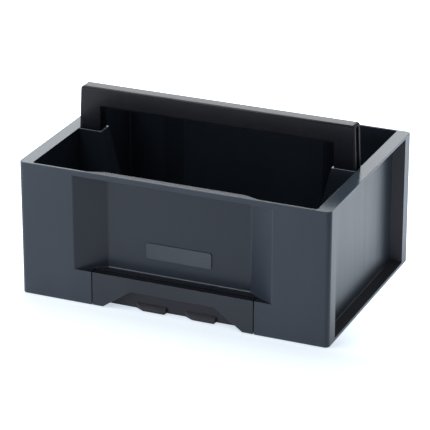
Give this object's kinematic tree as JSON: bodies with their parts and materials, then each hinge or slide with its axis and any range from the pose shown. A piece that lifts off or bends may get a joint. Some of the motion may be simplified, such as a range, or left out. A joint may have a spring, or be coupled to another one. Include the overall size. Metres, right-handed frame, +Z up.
{
  "type": "open tool storage caddy",
  "caption": "Open rectangular plastic tool tote with recessed walls, a fixed carrying handle on flared pillars and a sprung coupling flap at the foot of the front.",
  "frame": {"origin": "centre of the footprint, on the ground under the feet", "axes": "+X along the length to the right, front wall faces -Y, +Z up"},
  "size_m": [0.396, 0.276, 0.2265],
  "materials": {
    "body_plastic": "moulded anthracite, fine grain with a satin sheen",
    "plate_plastic": "moulded anthracite, slightly smoother",
    "handle_plastic": "moulded near-black, satin",
    "hook_plastic": "moulded dark grey",
    "screw_steel": "zinc plated",
    "pin_steel": "ground",
    "spring_steel": "drawn wire",
    "foot_rubber": "matt"
  },
  "bodies": {
    "caddy": {"tub": "body_plastic", "left_pillar": "body_plastic", "right_pillar": "body_plastic", "left_pillar_screws": "screw_steel", "right_pillar_screws": "screw_steel", "handle": "handle_plastic", "grip_insert": "handle_plastic", "left_lock_pin": "pin_steel", "right_lock_pin": "pin_steel", "flap_hinge_rod": "pin_steel", "left_rear_hook": "hook_plastic", "right_rear_hook": "hook_plastic", "name_plate": "plate_plastic", "front_left_foot": "foot_rubber", "front_right_foot": "foot_rubber", "rear_left_foot": "foot_rubber", "rear_right_foot": "foot_rubber"},
    "flap": {"coupling_flap": "body_plastic", "left_flap_spring": "spring_steel", "right_flap_spring": "spring_steel", "left_flap_hook": "hook_plastic", "right_flap_hook": "hook_plastic"}
  },
  "joints": [
    {"name": "flap_hinge", "type": "hinge", "parent": "caddy", "child": "flap", "pos_m": [0, -0.1295, 0.035], "axis": [-1, 0, 0], "range_deg": [0, 25], "stiffness_Nm_per_rad": 0.05, "springref_deg": -17.19}
  ]
}
